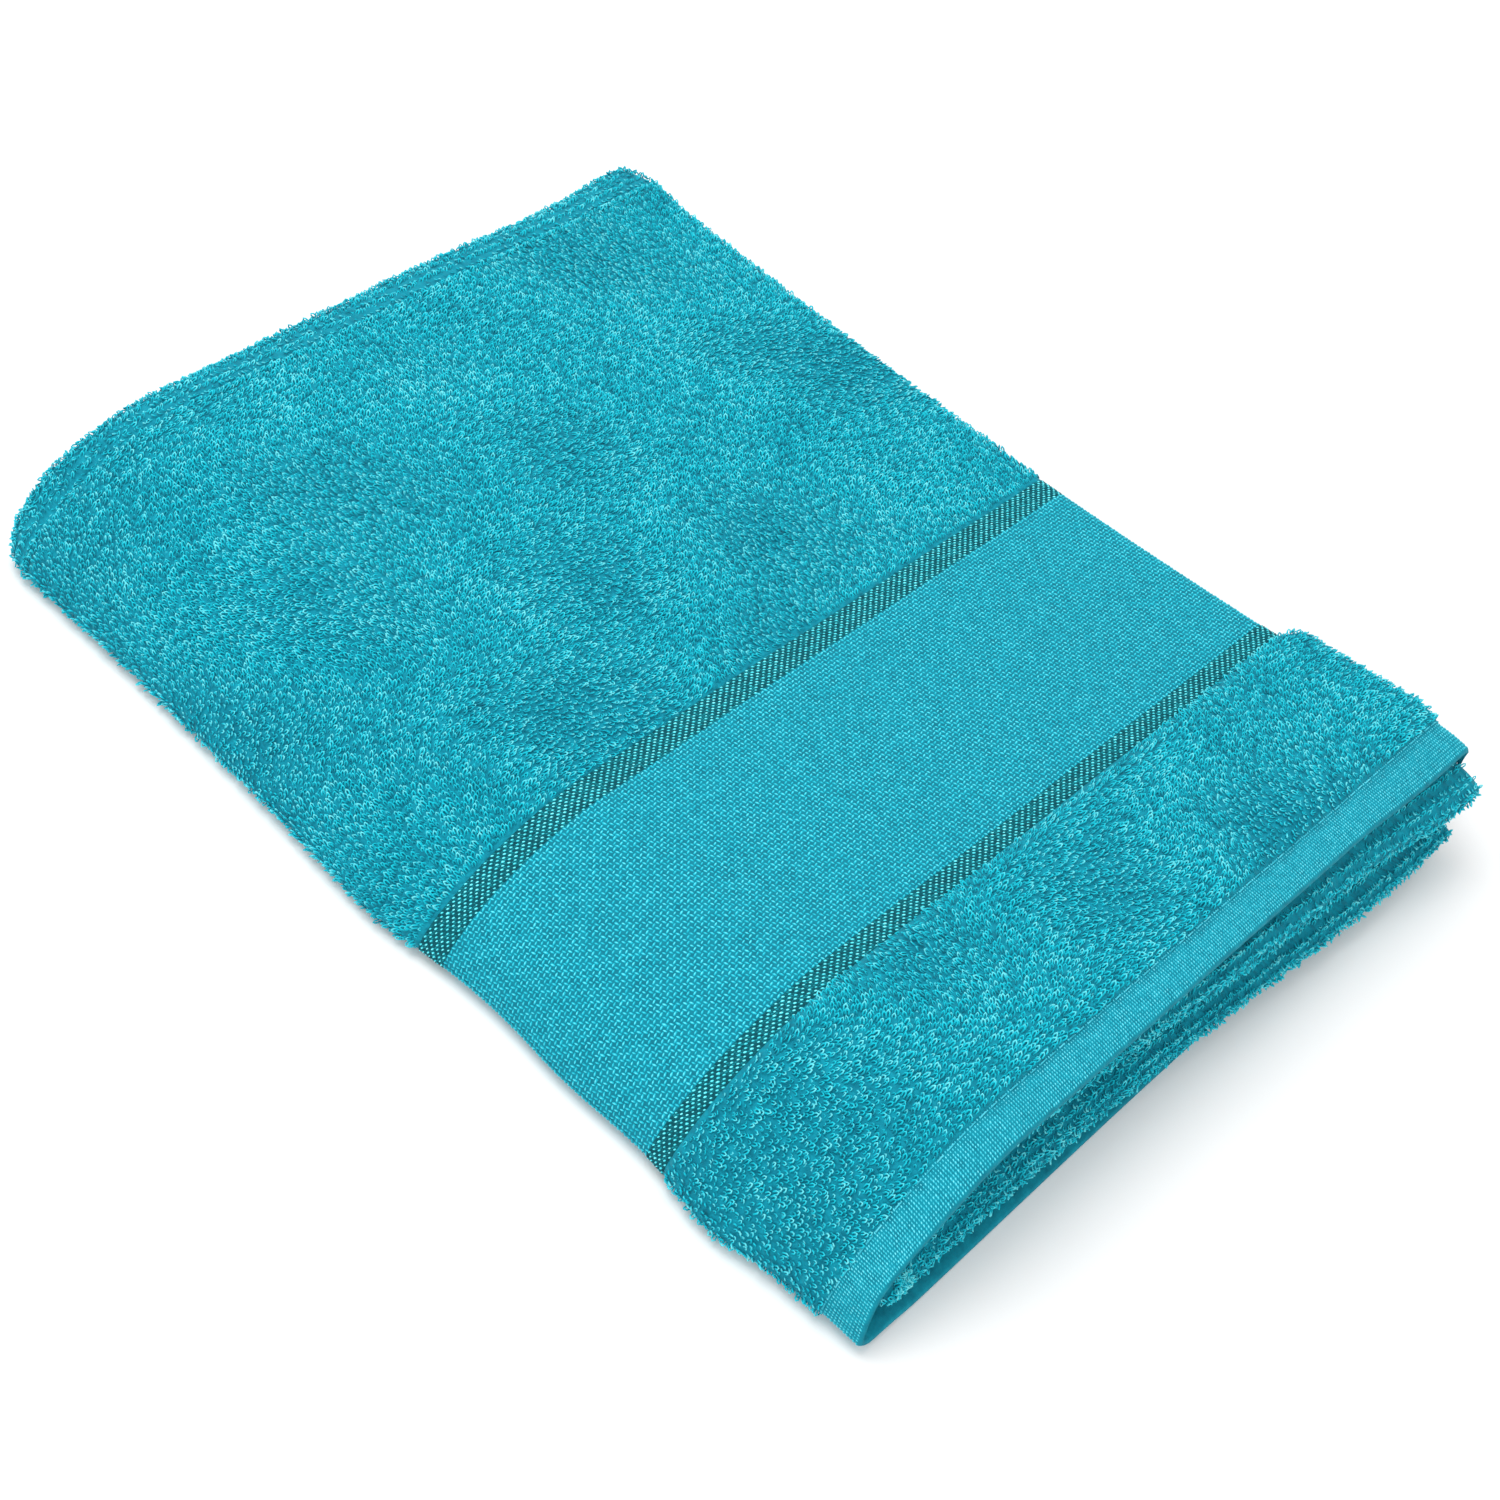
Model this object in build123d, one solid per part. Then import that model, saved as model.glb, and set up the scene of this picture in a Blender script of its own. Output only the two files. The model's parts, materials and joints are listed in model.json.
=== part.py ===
from build123d import *
import os

# A terry bath towel, folded in thirds across its length and then once lengthwise.
# X runs along the folded length, with the hemmed end at +X and the first crosswise fold at -X.
# The lengthwise fold lies along -Y, the side hems along +Y. Z = 0 is the surface it lies on.

# The towel laid flat, and how it is folded
TOWEL_WIDTH = 700.0
TOWEL_LENGTH = 1400.0
THIRDS = 3
TURN_ALLOWANCE = 8.0
FOLDED_WIDTH = TOWEL_WIDTH / 2
FOLDED_LENGTH = TOWEL_LENGTH / THIRDS + TURN_ALLOWANCE

# One thickness of towel as it lies in the pile, and how far the flat-woven zones sit below the loops
LAYER = 9.2
HALF_CLEARANCE = 0.3
BORDER_RECESS = 2.5
STRIPE_RECESS = 2.0
HEM_THICKNESS = 4.5

# Zones woven into each end, from the hemmed edge inwards
END_HEM = 14.5
END_PILE = 72.0
NARROW_STRIPE = 8.5
BORDER = 106.0
WIDE_STRIPE = 11.5

# Side hems, crosswise turns and stitching
SIDE_HEM_WIDTH = 8.0
TURN_DEPTH = 20.0
INNER_END_INSET = 4.0
THREAD_WIDTH = 0.8
THREAD_HEIGHT = 0.6
THREAD_FROM_PILE = 1.2

# The towel opens like a book about the lengthwise fold
HALF_HEIGHT = HALF_CLEARANCE + THIRDS * LAYER
FOLD_Y = -FOLDED_WIDTH / 2 + HALF_HEIGHT
OPEN_Y = FOLDED_WIDTH / 2
HEM_EDGE = FOLDED_LENGTH / 2
BACK_EDGE = -FOLDED_LENGTH / 2

# Where the crosswise turns start, and where the cloth's other end lies inside the fold
INNER_EDGE = BACK_EDGE + INNER_END_INSET
FRONT_TURN_TIP = HEM_EDGE - INNER_END_INSET
FRONT_TURN_START = FRONT_TURN_TIP - TURN_DEPTH
BACK_TURN_START = BACK_EDGE + TURN_DEPTH

# Heights of the layers above and below the mid-plane: inner, middle, outer
INNER_FACE = HALF_CLEARANCE
MIDDLE_FACE = INNER_FACE + LAYER
OUTER_FACE = MIDDLE_FACE + LAYER
PILE_FACE = OUTER_FACE + LAYER


def flat_section(start, end, near, far):
    """A band of towel cut across: from start to end along X, from near to far off the mid-plane."""
    middle = Pos((start + end) / 2, (near + far) / 2)
    return Plane.XZ * middle * Rectangle(abs(end - start), far - near)


def turn_section(inside, tip, near, far):
    """A crosswise turn: flat where it meets its two layers at inside, half round at its tip."""
    radius = (far - near) / 2
    centre_x = tip - radius if tip > inside else tip + radius
    height = (near + far) / 2
    nose = Plane.XZ * Pos(centre_x, height) * Circle(radius)
    return flat_section(inside, centre_x, near, far) + nose


def write(name, shape):
    export_step(Pos(0, FOLD_Y, HALF_HEIGHT) * shape, f"parts/{name}.step")


def run_through(name, section, open_end=OPEN_Y - SIDE_HEM_WIDTH):
    """Carries a section through the folded towel: lower half, lengthwise fold, upper half."""
    width = open_end - FOLD_Y
    across = extrude(section, amount=width, dir=(0, 1, 0))
    write(f"lower_{name}", mirror(across, Plane.XY))
    write(f"fold_{name}", revolve(section, Axis.X, revolution_arc=180))
    trimmed = extrude(section, amount=width - HALF_CLEARANCE, dir=(0, 1, 0))
    write(f"upper_{name}", Pos(0, HALF_CLEARANCE, 0) * trimmed)


def zone_spans(edge, inward, turn_start):
    """The zones of one towel end as (name, start, end), walking inward from its hemmed edge."""
    widths = {
        "end_hem": END_HEM,
        "end_pile": END_PILE,
        "narrow_stripe": NARROW_STRIPE,
        "border": BORDER,
        "wide_stripe": WIDE_STRIPE,
    }
    spans = []
    start = edge
    for name, width in widths.items():
        spans.append((name, start, start + inward * width))
        start += inward * width
    spans.append(("pile_field", start, turn_start))
    return spans


def end_third(prefix, edge, inward, turn_start, near, far, shown_outside):
    """One hemmed third: pile at full thickness, flat-woven zones recessed on the face that shows.
    The end hem runs the full width of the cloth; the other zones stop at the side hem."""
    recess = {
        "end_hem": LAYER - HEM_THICKNESS,
        "narrow_stripe": STRIPE_RECESS,
        "border": BORDER_RECESS,
        "wide_stripe": STRIPE_RECESS,
    }
    for name, start, end in zone_spans(edge, inward, turn_start):
        sunk = recess.get(name, 0.0)
        low = near if shown_outside else near + sunk
        high = far - sunk if shown_outside else far
        open_end = OPEN_Y if name == "end_hem" else OPEN_Y - SIDE_HEM_WIDTH
        run_through(prefix + name, flat_section(start, end, low, high), open_end)


def side_hem(name, start, end, near):
    """The narrow turned hem along the open side of one layer, in both halves."""
    middle = near + LAYER / 2
    section = flat_section(start, end, middle - HEM_THICKNESS / 2, middle + HEM_THICKNESS / 2)
    strip = extrude(section, amount=SIDE_HEM_WIDTH, dir=(0, 1, 0))
    placed = Pos(0, OPEN_Y - SIDE_HEM_WIDTH - FOLD_Y, 0) * strip
    write(f"upper_{name}", placed)
    write(f"lower_{name}", mirror(placed, Plane.XY))


def hem_stitching():
    """The lockstitch row that closes each end hem, on the face of the hem that shows."""
    outer_x = HEM_EDGE - END_HEM + THREAD_FROM_PILE
    outer_z = OUTER_FACE + HEM_THICKNESS
    inner_x = INNER_EDGE + END_HEM - THREAD_FROM_PILE
    inner_z = MIDDLE_FACE - HEM_THICKNESS
    outer_row = flat_section(outer_x, outer_x + THREAD_WIDTH, outer_z, outer_z + THREAD_HEIGHT)
    inner_row = flat_section(inner_x - THREAD_WIDTH, inner_x, inner_z - THREAD_HEIGHT, inner_z)
    return outer_row + inner_row


os.makedirs("parts", exist_ok=True)

# Outer third, shown on the outside of the folded towel
end_third("", HEM_EDGE, -1, BACK_TURN_START, OUTER_FACE, PILE_FACE, True)
side_hem("side_hem", BACK_TURN_START, HEM_EDGE - END_HEM, OUTER_FACE)

# Back turn, middle third and front turn
run_through("back_turn", turn_section(BACK_TURN_START, BACK_EDGE, MIDDLE_FACE, PILE_FACE), OPEN_Y)
run_through("middle_layer", flat_section(BACK_TURN_START, FRONT_TURN_START, MIDDLE_FACE, OUTER_FACE))
side_hem("middle_side_hem", BACK_TURN_START, FRONT_TURN_START, MIDDLE_FACE)
run_through("front_turn", turn_section(FRONT_TURN_START, FRONT_TURN_TIP, INNER_FACE, OUTER_FACE), OPEN_Y)

# Inner third, shown when the towel is opened about its lengthwise fold
end_third("inner_", INNER_EDGE, 1, FRONT_TURN_START, INNER_FACE, MIDDLE_FACE, False)
side_hem("inner_side_hem", INNER_EDGE + END_HEM, FRONT_TURN_START, INNER_FACE)

# Sewing thread
run_through("hem_stitching", hem_stitching(), OPEN_Y)
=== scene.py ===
import json
import math

import bpy
import numpy as np
from mathutils import Matrix, Vector


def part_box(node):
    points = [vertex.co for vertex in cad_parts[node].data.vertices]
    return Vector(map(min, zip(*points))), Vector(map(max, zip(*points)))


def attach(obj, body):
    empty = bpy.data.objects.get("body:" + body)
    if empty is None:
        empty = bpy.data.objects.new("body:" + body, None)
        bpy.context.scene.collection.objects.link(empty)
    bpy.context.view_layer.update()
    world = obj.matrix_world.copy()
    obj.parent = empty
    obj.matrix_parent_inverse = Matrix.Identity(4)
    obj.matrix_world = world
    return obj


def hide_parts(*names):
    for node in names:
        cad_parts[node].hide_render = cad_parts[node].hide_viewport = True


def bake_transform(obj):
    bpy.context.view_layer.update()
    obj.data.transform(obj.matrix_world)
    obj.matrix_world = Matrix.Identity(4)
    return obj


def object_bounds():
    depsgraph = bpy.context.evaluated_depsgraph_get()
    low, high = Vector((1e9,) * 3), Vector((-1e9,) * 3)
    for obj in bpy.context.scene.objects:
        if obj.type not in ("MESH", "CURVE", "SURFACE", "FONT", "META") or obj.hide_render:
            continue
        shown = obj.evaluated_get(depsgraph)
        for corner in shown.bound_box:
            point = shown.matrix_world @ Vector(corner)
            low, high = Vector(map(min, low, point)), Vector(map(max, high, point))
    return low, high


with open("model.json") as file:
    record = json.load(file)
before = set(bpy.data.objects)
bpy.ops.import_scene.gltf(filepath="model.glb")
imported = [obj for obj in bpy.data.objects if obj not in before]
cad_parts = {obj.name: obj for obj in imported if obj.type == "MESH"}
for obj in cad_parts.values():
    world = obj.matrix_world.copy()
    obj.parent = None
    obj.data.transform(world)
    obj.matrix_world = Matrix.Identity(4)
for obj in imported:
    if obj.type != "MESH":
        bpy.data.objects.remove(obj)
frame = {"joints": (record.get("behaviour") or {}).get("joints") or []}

cad_low, cad_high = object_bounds()

# Camera: stands off the hemmed end on the fold side and looks down on the folded towel.
# It is tilted about its own axis, so that the towel lies across the frame.
camera_azimuth, camera_elevation, camera_roll = (math.radians(a) for a in (34.85, 47.28, 12.31))
camera_distance = 0.956
aim = Vector((0.0417, -0.0211, 0.020))
back = Vector((
    math.sin(camera_azimuth) * math.cos(camera_elevation),
    -math.cos(camera_azimuth) * math.cos(camera_elevation),
    math.sin(camera_elevation),
))
level = Vector((math.cos(camera_azimuth), math.sin(camera_azimuth), 0.0))
upright = back.cross(level)
right = level * math.cos(camera_roll) + upright * math.sin(camera_roll)
upward = upright * math.cos(camera_roll) - level * math.sin(camera_roll)
camera_data = bpy.data.cameras.new("camera")
camera_data.sensor_width = 36.0
camera_data.lens = 58.63
camera_data.clip_start = 0.01
camera = bpy.data.objects.new("camera", camera_data)
camera.matrix_world = Matrix.Translation(aim + back * camera_distance) @ Matrix(
    (right, upward, back)
).transposed().to_4x4()
bpy.context.collection.objects.link(camera)
bpy.context.scene.camera = camera

# Studio: a plain white floor, an even white surround and one broad soft lamp over the fold side.
bpy.context.scene.view_settings.view_transform = "Standard"
world = bpy.data.worlds.new("surround")
world.use_nodes = True
world.node_tree.nodes["Background"].inputs["Color"].default_value = (1.0, 1.0, 1.0, 1.0)
world.node_tree.nodes["Background"].inputs["Strength"].default_value = 0.80
bpy.context.scene.world = world


def lamp(name, place, width, power):
    """A square soft lamp at place, turned to face the towel."""
    data = bpy.data.lights.new(name, "AREA")
    data.size = width
    data.energy = power
    ob = bpy.data.objects.new(name, data)
    facing_towel = (-Vector(place)).to_track_quat("-Z", "Y")
    ob.matrix_world = Matrix.Translation(place) @ facing_towel.to_matrix().to_4x4()
    bpy.context.collection.objects.link(ob)


lamp("top_lamp", (-0.45, -0.15, 1.6), 1.2, 16.0)
lamp("side_lamp", (0.9, -1.2, 1.1), 1.2, 7.0)

floor_half = 4.0
floor_mesh = bpy.data.meshes.new("floor")
floor_mesh.from_pydata(
    [(-floor_half, -floor_half, 0), (floor_half, -floor_half, 0), (floor_half, floor_half, 0),
     (-floor_half, floor_half, 0)], [], [(0, 1, 2, 3)])
floor = bpy.data.objects.new("floor", floor_mesh)
bpy.context.collection.objects.link(floor)
floor_paint = bpy.data.materials.new("floor paint")
floor_paint.use_nodes = True
floor_paint.node_tree.nodes["Principled BSDF"].inputs["Base Color"].default_value = (0.9, 0.9, 0.9, 1)
floor_paint.node_tree.nodes["Principled BSDF"].inputs["Roughness"].default_value = 0.9
floor_mesh.materials.append(floor_paint)

# Outer third, main field: the towel's ground cloth with loops standing on it. It starts under the
# towel at the open side, goes round the lengthwise fold and over the top to the open side again.
# Here u is the place across the cloth: -1 at the lower open side, 0 at the fold's nose, 1 at the upper.
half_length = cad_high[0]
half_width = cad_high[1]
fold_joint = frame["joints"][0]
fold_y, middle_z = fold_joint["pos_m"][1], fold_joint["pos_m"][2]
cloth_reach = 0.385
gap = 0.0003

# Height of the stack, and how much higher it is towards its two ends and over the end pile
stack_height = 0.0462
end_rises = (0.0006, 0.0120, 0.0022)
puff_rise = 0.0035

# The lengthwise fold: its nose, its slope, and where it bulges out (place, width and depth of each)
nose_height = 0.0045
slope_reach = 0.075
slope_round = 1.55
under_reach = 0.010
nose_bulges = ((0.000, 0.038, 0.0048), (0.100, 0.025, 0.0018), (0.175, 0.021, 0.0048))

# The open side, where the top layer rolls over and hangs down
droop_radius = 0.007
droop_hang = 0.008
droop_floor = 0.0340
side_spill = 0.003
under_inset = 0.004
heart_inset = 0.009

# The hemmed edge, which falls and stands out a little, and the cloth's unevenness and thickness
hem_width = 0.0145
hem_reach = 0.0035
edge_fall = 0.0030
edge_round = 0.0010
top_ripple = 0.0008
side_ripple = 0.0012
pile_depth = 0.0022


def ease(t):
    """0 up to t = 0, 1 from t = 1, and a smooth step between."""
    t = np.clip(t, 0.0, 1.0)
    return t * t * (3 - 2 * t)


def span(node):
    """First and last x of a CAD node."""
    low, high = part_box(node)
    return low[0], high[0]


def puff(x):
    """1 over the end pile, which puffs up over the turn below it, and 0 beyond its neighbours."""
    first, last = span("upper_end_pile")
    return ease((x - first) / 0.007) * ease((last + 0.003 - x) / 0.012)


def spill(x):
    """How far the top layer hangs out at the open side: most over the end pile and the hem."""
    first, last = span("upper_end_pile")
    return side_spill * (1 + 2 * ease((x - first) / 0.007) + ease((-x - 0.19) / 0.04))


def pile_height(x):
    """Height of the loop tops over the floor: thickest at the two ends, where the turns lie."""
    t = x / half_length
    a, b, c = end_rises
    return stack_height + a * t + b * t**2 + c * t**3 + puff_rise * puff(x)


def ripple(a, b, size):
    """Soft unevenness of a hand-folded cloth, from a few crossing waves."""
    return size * (
        np.sin(a / 0.031 + 1.3 * np.sin(b / 0.067)) * np.cos(b / 0.043 + 0.4)
        + 0.6 * np.sin(b / 0.019 + a / 0.053 + 2.1)
    ) / 1.6


def upper_path(x, droops):
    """Loop-top line of the upper half at one x, from the fold's nose to the open side, as (y, z)."""
    top = pile_height(x)
    t = np.linspace(0.0, 1.0, 90) * math.pi / 2
    power = 2 / slope_round
    y = [-half_width + slope_reach * (1 - np.cos(t) ** power)]
    z = [nose_height + (top - nose_height) * np.sin(t) ** power]
    end = half_width - droop_radius + spill(x) if droops else half_width
    flat = np.linspace(-half_width + slope_reach, end, 60)[1:]
    y.append(flat)
    z.append(np.full(len(flat), top))
    if droops:
        y.append(end + droop_radius * np.sin(t[1::4]))
        z.append(top - droop_radius * (1 - np.cos(t[1::4])))
        y.append(np.array([end + droop_radius]))
        z.append(np.array([max(top - droop_radius - droop_hang, droop_floor)]))
    return np.concatenate(y), np.concatenate(z)


def lower_path(x):
    """The same for the lower half: from the nose round underneath to the open side."""
    t = np.linspace(0.0, 1.0, 30) * math.pi / 2
    y = np.concatenate([-half_width + under_reach * (1 - np.cos(t)), [half_width - under_inset]])
    z = np.concatenate([nose_height * (1 - np.sin(t)), [0.0]])
    return y, z


def along(path, s):
    """Points at the shares s of a line's length."""
    y, z = path
    run = np.concatenate([[0.0], np.cumsum(np.hypot(np.diff(y), np.diff(z)))])
    return np.interp(s * run[-1], run, y), np.interp(s * run[-1], run, z)


def outline(x, u, droops=True):
    """Loop-top surface on a grid: x along the towel and u across it."""
    grid = np.zeros((len(x), len(u), 3))
    upper = u >= 0
    for i, at in enumerate(x):
        y_up, z_up = along(upper_path(at, droops), u[upper])
        y_low, z_low = along(lower_path(at), -u[~upper])
        grid[i, :, 0] = at
        grid[i, upper, 1], grid[i, upper, 2] = y_up, z_up
        grid[i, ~upper, 1], grid[i, ~upper, 2] = y_low, z_low
    along_towel = grid[:, :, 0].copy()
    on_top = np.clip((grid[:, :, 2] - middle_z) / 0.015, 0.0, 1.0)
    on_hem = np.clip((along_towel - half_length) / hem_width + 1, 0.0, 1.0)
    grid[:, :, 2] += on_top * (ripple(along_towel, grid[:, :, 1], top_ripple) - edge_fall * on_hem**2)
    near_nose = np.clip(1 - np.abs(u) / 0.12, 0.0, 1.0)
    outwards = ripple(along_towel + 0.2, 0.0 * along_towel, side_ripple)
    for at, width, depth in nose_bulges:
        outwards = outwards - depth * np.exp(-(((along_towel - at) / width) ** 2))
    grid[:, :, 1] += near_nose * outwards
    reach = ease((0.06 - u) / 0.08) * (1 - 0.5 * ease(-u / 0.5)) + 0.6 * ease((u - 0.75) / 0.15)
    grid[:, :, 0] += on_hem * hem_reach * reach
    return grid


def heart(grid, u):
    """Where each point of the outline would end if the stack had no thickness: the mid-plane."""
    core = grid.copy()
    share = (half_width - heart_inset - fold_y) / (half_width - fold_y)
    core[:, :, 1] = fold_y + np.maximum(grid[:, :, 1] - fold_y, 0.0) * share
    core[:, :, 2] = middle_z + np.where(u >= 0, gap, -gap)
    return core


def sink(grid, u, depth, most=0.10):
    """The outline moved inwards by depth, or by the share most of the way to the mid-plane."""
    way = heart(grid, u) - grid
    far = np.linalg.norm(way, axis=2, keepdims=True) + 1e-9
    return grid + way * np.minimum(depth / far, most)


def layer(x, u, level, droops=False):
    """The surface at a level in the stack, from 0 at the mid-plane to 3 at the loop tops."""
    grid = outline(x, u, droops)
    return grid + (heart(grid, u) - grid) * (1 - np.asarray(level) / 3)


def facing(grid):
    """Outward unit normals and along-the-cloth unit vectors of a grid."""
    along_x = np.gradient(grid, axis=0)
    along_u = np.gradient(grid, axis=1)
    normal = np.cross(along_x, along_u)
    normal /= np.linalg.norm(normal, axis=2, keepdims=True) + 1e-12
    along_x /= np.linalg.norm(along_x, axis=2, keepdims=True) + 1e-12
    return normal, along_x


def steps(start, end, pitch):
    """Even steps from start to end, as near to the pitch as they come."""
    return np.linspace(start, end, max(2, int(round(abs(end - start) / pitch)) + 1))


def new_object(name, mesh):
    ob = bpy.data.objects.new(name, mesh)
    bpy.context.collection.objects.link(ob)
    return ob


def cloth_slab(name, face, lining, x, u):
    """A closed thickness of cloth from its outer face and its lining, both grids of the same shape,
    with rounded edges. The map "cloth" holds each point's place on the flat cloth, in metres."""
    rows, columns = face.shape[:2]
    number = np.arange(rows * columns).reshape(rows, columns)
    a, b, c, d = number[:-1, :-1], number[1:, :-1], number[1:, 1:], number[:-1, 1:]
    front = np.stack([a, b, c, d], -1).reshape(-1, 4)
    rear = front[:, ::-1] + rows * columns
    rim = np.concatenate([number[:, 0], number[-1, 1:], number[-2::-1, -1], number[0, -2:0:-1]])
    inside = number[np.clip(rim // columns, 1, rows - 2), np.clip(rim % columns, 1, columns - 2)]
    face_points, lining_points = face.reshape(-1, 3), lining.reshape(-1, 3)
    outwards = face_points[rim] - face_points[inside]
    outwards /= np.linalg.norm(outwards, axis=1, keepdims=True) + 1e-12
    thick = np.linalg.norm(face_points[rim] - lining_points[rim], axis=1, keepdims=True)
    bead = (face_points[rim] + lining_points[rim]) / 2 + outwards * np.minimum(thick * 0.45, edge_round)
    ring = np.arange(len(rim)) + 2 * rows * columns
    upper = np.stack([rim, ring, np.roll(ring, -1), np.roll(rim, -1)], -1)
    lower = np.stack([ring, rim + rows * columns, np.roll(rim, -1) + rows * columns, np.roll(ring, -1)], -1)
    mesh = bpy.data.meshes.new(name)
    points = np.concatenate([face_points, lining_points, bead])
    mesh.from_pydata(points.tolist(), [], np.concatenate([front, rear, upper, lower]).tolist())
    mesh.validate()
    place = np.stack(np.meshgrid(x, u * cloth_reach, indexing="ij"), -1)[:, :, ::-1].reshape(-1, 2)
    place = np.concatenate([place, place, place[rim]])
    flat_map = mesh.uv_layers.new(name="cloth")
    corner = np.zeros(len(mesh.loops), dtype=np.int32)
    mesh.loops.foreach_get("vertex_index", corner)
    flat_map.data.foreach_set("uv", place[corner].ravel().astype(np.float32))
    mesh.shade_smooth()
    return new_object(name, mesh)


def add_node(tree, kind, links=None, **settings):
    """One node with its settings; links gives each input a value or another node's output."""
    made = tree.nodes.new(kind)
    for key, value in settings.items():
        setattr(made, key, value)
    for key, value in (links or {}).items():
        if isinstance(value, bpy.types.NodeSocket):
            tree.links.new(value, made.inputs[key])
        else:
            made.inputs[key].default_value = value
    return made


def maths(tree, operation, *values):
    """The output of a Math node on values or other outputs."""
    return add_node(tree, "ShaderNodeMath", dict(enumerate(values)), operation=operation).outputs[0]


def random_between(tree, low, high, seed, kind="FLOAT"):
    """A random value or vector for each point, from a fixed seed."""
    first = 0 if kind == "FLOAT_VECTOR" else 2
    made = add_node(tree, "FunctionNodeRandomValue", {first: low, first + 1: high}, data_type=kind)
    made.inputs["Seed"].default_value = seed
    return made.outputs[0 if kind == "FLOAT_VECTOR" else 1]


def planting_tree(name, sizes, shape):
    """Geometry nodes that plant one small yarn shape on every vertex of a carrier mesh. "stand" and
    "across" on the carrier are the shape's own Z and X, and "grow" is its size."""
    tree = bpy.data.node_groups.new(name, "GeometryNodeTree")
    tree.interface.new_socket("Geometry", in_out="INPUT", socket_type="NodeSocketGeometry")
    tree.interface.new_socket("Geometry", in_out="OUTPUT", socket_type="NodeSocketGeometry")
    for label, value in {**sizes, "Stray": 0.0004, "Wander": 0.2, "Uneven": 0.2}.items():
        kind = "NodeSocketInt" if isinstance(value, int) else "NodeSocketFloat"
        tree.interface.new_socket(label, in_out="INPUT", socket_type=kind).default_value = value
    tree.interface.new_socket("Seed", in_out="INPUT", socket_type="NodeSocketInt").default_value = 1
    tree.interface.new_socket("Yarn", in_out="INPUT", socket_type="NodeSocketMaterial")
    given = tree.nodes.new("NodeGroupInput").outputs
    result = tree.nodes.new("NodeGroupOutput")
    points = add_node(tree, "GeometryNodeMeshToPoints", {"Mesh": given["Geometry"]})
    seed = given["Seed"]

    def read(label, kind):
        return add_node(tree, "GeometryNodeInputNamedAttribute", {"Name": label}, data_type=kind).outputs[0]

    def shaken(vector, amount, salt):
        shake = random_between(tree, (-1, -1, -1), (1, 1, 1), 0, "FLOAT_VECTOR")
        tree.links.new(maths(tree, "ADD", seed, salt), shake.node.inputs["Seed"])
        scaled = add_node(tree, "ShaderNodeVectorMath", {0: shake, "Scale": amount}, operation="SCALE")
        if vector is None:
            return scaled.outputs[0]
        return add_node(tree, "ShaderNodeVectorMath", {0: vector, 1: scaled.outputs[0]}).outputs[0]

    moved = add_node(tree, "GeometryNodeSetPosition", {
        "Geometry": points.outputs[0], "Offset": shaken(None, given["Stray"], 3)})
    stand = add_node(tree, "FunctionNodeAlignRotationToVector", {
        "Vector": shaken(read("stand", "FLOAT_VECTOR"), given["Wander"], 11)}, axis="Z")
    turned = add_node(tree, "FunctionNodeAlignRotationToVector", {
        "Rotation": stand.outputs[0], "Vector": shaken(read("across", "FLOAT_VECTOR"), given["Wander"], 17)},
        axis="X", pivot_axis="Z")
    spread = random_between(tree, -1.0, 1.0, 5)
    swing = maths(tree, "MULTIPLY_ADD", spread, given["Uneven"], 1.0)
    size = maths(tree, "MULTIPLY", swing, read("grow", "FLOAT"))
    planted = add_node(tree, "GeometryNodeInstanceOnPoints", {
        "Points": moved.outputs[0], "Instance": shape(tree, given), "Rotation": turned.outputs[0],
        "Scale": size})
    toned = add_node(tree, "GeometryNodeStoreNamedAttribute", {
        "Geometry": planted.outputs[0], "Name": "tone", "Value": random_between(tree, 0.0, 1.0, 29)},
        data_type="FLOAT", domain="INSTANCE")
    real = add_node(tree, "GeometryNodeRealizeInstances", {"Geometry": toned.outputs[0]})
    smooth = add_node(tree, "GeometryNodeSetShadeSmooth", {"Geometry": real.outputs[0]})
    painted = add_node(tree, "GeometryNodeSetMaterial", {
        "Geometry": smooth.outputs[0], "Material": given["Yarn"]})
    tree.links.new(painted.outputs[0], result.inputs[0])
    return tree


def mark_height_for_painted_light(tree, geometry, height, share):
    """Stores how far up the yarn shape each point lies, as a share of its height, for the material: painted
    shade low down, a painted highlight at the top.
    """
    up = maths(tree, "DIVIDE", height, share)
    return add_node(tree, "GeometryNodeStoreNamedAttribute", {
        "Geometry": geometry, "Name": "rise", "Value": up}, data_type="FLOAT", domain="POINT").outputs[0]


def height_of_point(tree):
    at = add_node(tree, "GeometryNodeInputPosition").outputs[0]
    return add_node(tree, "ShaderNodeSeparateXYZ", {0: at}).outputs[2]


def loop_shape(tree, given):
    """A terry loop: a horseshoe of yarn, drawn out upwards, its feet in the ground cloth."""
    horseshoe = add_node(tree, "GeometryNodeCurveArc", {
        "Resolution": given["Loop Points"], "Radius": given["Loop Width"], "Start Angle": math.radians(-35),
        "Sweep Angle": math.radians(250)})
    section = add_node(tree, "GeometryNodeCurvePrimitiveCircle", {
        "Resolution": 3, "Radius": given["Yarn Radius"]})
    drawn = add_node(tree, "ShaderNodeCombineXYZ", {0: 1.0, 1: given["Loop Stretch"], 2: 1.0})
    upright = add_node(tree, "GeometryNodeTransform", {
        "Geometry": horseshoe.outputs[0], "Rotation": (math.radians(90), 0.0, 0.0),
        "Scale": drawn.outputs[0], "Translation": (0.0, 0.0, 0.0007)})
    yarn = add_node(tree, "GeometryNodeCurveToMesh", {
        "Curve": upright.outputs[0], "Profile Curve": section.outputs[0]}).outputs[0]
    # Keep each point's height for the material, which paints shade at the loop's feet and a highlight on its
    # top.
    return mark_height_for_painted_light(tree, yarn, height_of_point(tree), 0.0026)


pile_tree = planting_tree(
    "terry pile", {"Loop Width": 0.00064, "Loop Stretch": 2.2, "Yarn Radius": 0.00033, "Loop Points": 5},
    loop_shape)


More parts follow.
